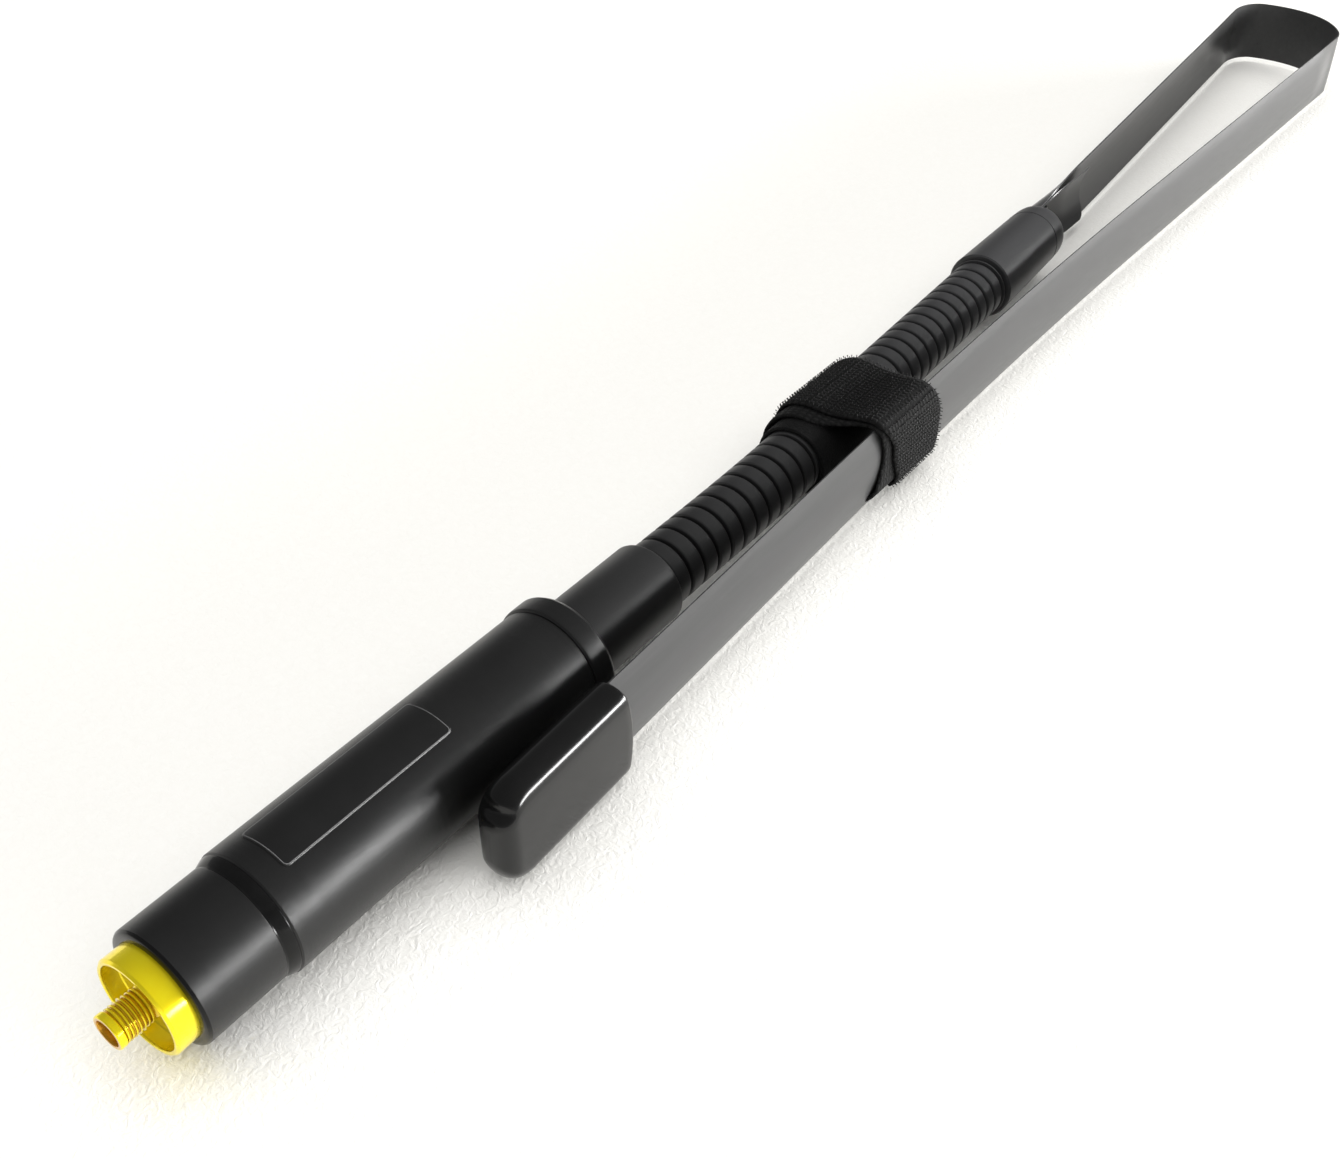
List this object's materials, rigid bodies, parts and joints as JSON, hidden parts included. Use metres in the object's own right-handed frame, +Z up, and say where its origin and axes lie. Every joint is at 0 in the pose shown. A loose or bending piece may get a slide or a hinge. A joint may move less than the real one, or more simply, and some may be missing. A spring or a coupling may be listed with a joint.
{
  "type": "folding gooseneck antenna",
  "caption": "Folding spring-tape antenna with gooseneck, threaded jack and hook-and-loop strap, shown folded.",
  "frame": {"origin": "centre of the jack's front face, on the housing axis", "axes": "+X along the housing away from the jack, +Z up, -Y towards the folded half of the blade"},
  "size_m": [0.5137, 0.0453, 0.0244],
  "materials": {
    "gold_plate": "bright gold plating on brass",
    "white_insulator": "natural insulating plastic",
    "black_plastic": "moulded black plastic",
    "black_anodised": "satin black anodised, fine turning lines",
    "black_gloss": "glossy black",
    "label_film": "dark printed film, no lettering",
    "copper_wire": "enamelled copper winding",
    "ferrule_black": "satin black coating",
    "neck_black": "satin black coating over formed wire",
    "cable_jacket": "thin cable jacket",
    "blade_lacquer": "black lacquered spring tape",
    "dipped_cap": "glossy dipped vinyl",
    "strap_fabric": "black woven hook-and-loop tape"
  },
  "bodies": {
    "base": {"jack_barrel": "gold_plate", "contact_insulator": "white_insulator", "centre_contact": "gold_plate", "gold_cup": "gold_plate", "cup_insulator": "white_insulator", "base_plug": "black_plastic", "lock_nut": "gold_plate", "front_sleeve": "black_anodised", "shoulder_band": "black_gloss", "main_housing": "black_anodised", "housing_label": "label_film", "collar_ring": "black_anodised", "rear_bushing": "black_plastic", "coil_former": "white_insulator", "matching_coil": "copper_wire", "lower_ferrule": "ferrule_black", "cable_1": "cable_jacket"},
    "neck_link_01": {"neck_turn_01": "neck_black"},
    "neck_link_02": {"neck_turn_02": "neck_black", "cable_2": "cable_jacket"},
    "neck_link_03": {"neck_turn_03": "neck_black"},
    "neck_link_04": {"neck_turn_04": "neck_black"},
    "neck_link_05": {"neck_turn_05": "neck_black", "cable_3": "cable_jacket"},
    "neck_link_06": {"neck_turn_06": "neck_black"},
    "neck_link_07": {"neck_turn_07": "neck_black"},
    "neck_link_08": {"neck_turn_08": "neck_black", "cable_4": "cable_jacket"},
    "neck_link_09": {"neck_turn_09": "neck_black"},
    "neck_link_10": {"neck_turn_10": "neck_black"},
    "neck_link_11": {"neck_turn_11": "neck_black"},
    "upper_neck": {"upper_neck_turns": "neck_black", "ferrule_band": "ferrule_black", "upper_ferrule": "ferrule_black", "blade_clamp": "ferrule_black", "long_leaf": "blade_lacquer", "short_leaf": "blade_lacquer", "far_strand": "blade_lacquer", "strap_neck_turn": "strap_fabric", "strap_bottom_run": "strap_fabric", "cable_5": "cable_jacket"},
    "fold_1": {"bend_1": "blade_lacquer"},
    "fold_2": {"bend_2": "blade_lacquer"},
    "fold_3": {"bend_3": "blade_lacquer"},
    "fold_4": {"bend_4": "blade_lacquer"},
    "fold_5": {"bend_5": "blade_lacquer"},
    "fold_6": {"bend_6": "blade_lacquer"},
    "fold_7": {"bend_7": "blade_lacquer"},
    "folded_blade": {"near_strand": "blade_lacquer"},
    "tip_cap": {"end_cap": "dipped_cap"},
    "strap_flap": {"strap_bridge": "strap_fabric"},
    "strap_end": {"strap_tail": "strap_fabric"}
  },
  "joints": [
    {"name": "neck_pitch_1", "type": "hinge", "parent": "base", "child": "neck_link_01", "pos_m": [0.1293, 0, 0], "axis": [0, -1, 0], "range_deg": [-6, 6]},
    {"name": "neck_yaw_1", "type": "hinge", "parent": "neck_link_01", "child": "neck_link_02", "pos_m": [0.13388, 0, 0], "axis": [0, 0, 1], "range_deg": [0, 6]},
    {"name": "neck_pitch_2", "type": "hinge", "parent": "neck_link_02", "child": "neck_link_03", "pos_m": [0.13846, 0, 0], "axis": [0, -1, 0], "range_deg": [-6, 6]},
    {"name": "neck_yaw_2", "type": "hinge", "parent": "neck_link_03", "child": "neck_link_04", "pos_m": [0.14304, 0, 0], "axis": [0, 0, 1], "range_deg": [0, 6]},
    {"name": "neck_pitch_3", "type": "hinge", "parent": "neck_link_04", "child": "neck_link_05", "pos_m": [0.14762, 0, 0], "axis": [0, -1, 0], "range_deg": [-6, 6]},
    {"name": "neck_yaw_3", "type": "hinge", "parent": "neck_link_05", "child": "neck_link_06", "pos_m": [0.1522, 0, 0], "axis": [0, 0, 1], "range_deg": [0, 6]},
    {"name": "neck_pitch_4", "type": "hinge", "parent": "neck_link_06", "child": "neck_link_07", "pos_m": [0.15678, 0.00003, 0], "axis": [0.0083, -1, 0], "range_deg": [-6, 6]},
    {"name": "neck_yaw_4", "type": "hinge", "parent": "neck_link_07", "child": "neck_link_08", "pos_m": [0.16136, 0.00008, 0], "axis": [0, 0, 1], "range_deg": [0, 6]},
    {"name": "neck_pitch_5", "type": "hinge", "parent": "neck_link_08", "child": "neck_link_09", "pos_m": [0.16594, 0.00015, 0], "axis": [0.0194, -0.9998, 0], "range_deg": [-6, 6]},
    {"name": "neck_yaw_5", "type": "hinge", "parent": "neck_link_09", "child": "neck_link_10", "pos_m": [0.17052, 0.00026, 0], "axis": [0, 0, 1], "range_deg": [0, 6]},
    {"name": "neck_pitch_6", "type": "hinge", "parent": "neck_link_10", "child": "neck_link_11", "pos_m": [0.1751, 0.00038, 0], "axis": [0.0305, -0.9995, 0], "range_deg": [-6, 6]},
    {"name": "neck_yaw_6", "type": "hinge", "parent": "neck_link_11", "child": "upper_neck", "pos_m": [0.17968, 0.00054, 0], "axis": [0, 0, 1], "range_deg": [0, 6]},
    {"name": "blade_unfold", "type": "hinge", "parent": "upper_neck", "child": "fold_1", "pos_m": [0.5002, 0.02181, -0.00125], "axis": [0, 0, 1], "range_deg": [0, 23.19]},
    {"name": "blade_unfold_2", "type": "hinge", "parent": "fold_1", "child": "fold_2", "pos_m": [0.50767, 0.02065, -0.00125], "axis": [0, 0, 1], "range_deg": [0, 23.19]},
    {"name": "blade_unfold_3", "type": "hinge", "parent": "fold_2", "child": "fold_3", "pos_m": [0.51122, 0.01812, -0.00125], "axis": [0, 0, 1], "range_deg": [0, 23.19]},
    {"name": "blade_unfold_4", "type": "hinge", "parent": "fold_3", "child": "fold_4", "pos_m": [0.51252, 0.0157, -0.00125], "axis": [0, 0, 1], "range_deg": [0, 23.19]},
    {"name": "blade_unfold_5", "type": "hinge", "parent": "fold_4", "child": "fold_5", "pos_m": [0.51291, 0.00218, -0.00125], "axis": [0, 0, 1], "range_deg": [0, 23.19]},
    {"name": "blade_unfold_6", "type": "hinge", "parent": "fold_5", "child": "fold_6", "pos_m": [0.50847, -0.00739, -0.00125], "axis": [0, 0, 1], "range_deg": [0, 23.19]},
    {"name": "blade_unfold_7", "type": "hinge", "parent": "fold_6", "child": "fold_7", "pos_m": [0.49934, -0.01468, -0.00125], "axis": [0, 0, 1], "range_deg": [0, 23.19]},
    {"name": "blade_unfold_8", "type": "hinge", "parent": "fold_7", "child": "folded_blade", "pos_m": [0.49351, -0.01593, -0.00125], "axis": [0, 0, 1], "range_deg": [0, 23.19]},
    {"name": "cap_pull", "type": "slide", "parent": "folded_blade", "child": "tip_cap", "axis": [-0.9993, -0.038, 0], "range_m": [0, 0.032]},
    {"name": "strap_lift", "type": "hinge", "parent": "upper_neck", "child": "strap_flap", "pos_m": [0.203, 0.0014, 0.0099], "axis": [-1, 0, 0], "range_deg": [0, 58.5]},
    {"name": "strap_peel", "type": "hinge", "parent": "strap_flap", "child": "strap_end", "pos_m": [0.203, -0.0143, 0.0099], "axis": [-1, 0, 0], "range_deg": [0, 80]}
  ],
  "couplings": [
    {"joint": "neck_pitch_2", "follows": "neck_pitch_1", "ratio": 1},
    {"joint": "neck_yaw_2", "follows": "neck_yaw_1", "ratio": 1},
    {"joint": "neck_pitch_3", "follows": "neck_pitch_1", "ratio": 1},
    {"joint": "neck_yaw_3", "follows": "neck_yaw_1", "ratio": 1},
    {"joint": "neck_pitch_4", "follows": "neck_pitch_1", "ratio": 1},
    {"joint": "neck_yaw_4", "follows": "neck_yaw_1", "ratio": 1},
    {"joint": "neck_pitch_5", "follows": "neck_pitch_1", "ratio": 1},
    {"joint": "neck_yaw_5", "follows": "neck_yaw_1", "ratio": 1},
    {"joint": "neck_pitch_6", "follows": "neck_pitch_1", "ratio": 1},
    {"joint": "neck_yaw_6", "follows": "neck_yaw_1", "ratio": 1},
    {"joint": "blade_unfold_2", "follows": "blade_unfold", "ratio": 1},
    {"joint": "blade_unfold_3", "follows": "blade_unfold", "ratio": 1},
    {"joint": "blade_unfold_4", "follows": "blade_unfold", "ratio": 1},
    {"joint": "blade_unfold_5", "follows": "blade_unfold", "ratio": 1},
    {"joint": "blade_unfold_6", "follows": "blade_unfold", "ratio": 1},
    {"joint": "blade_unfold_7", "follows": "blade_unfold", "ratio": 1},
    {"joint": "blade_unfold_8", "follows": "blade_unfold", "ratio": 1},
    {"joint": "strap_lift", "follows": "blade_unfold", "ratio": 2.5},
    {"joint": "strap_peel", "follows": "blade_unfold", "ratio": 3.4}
  ]
}
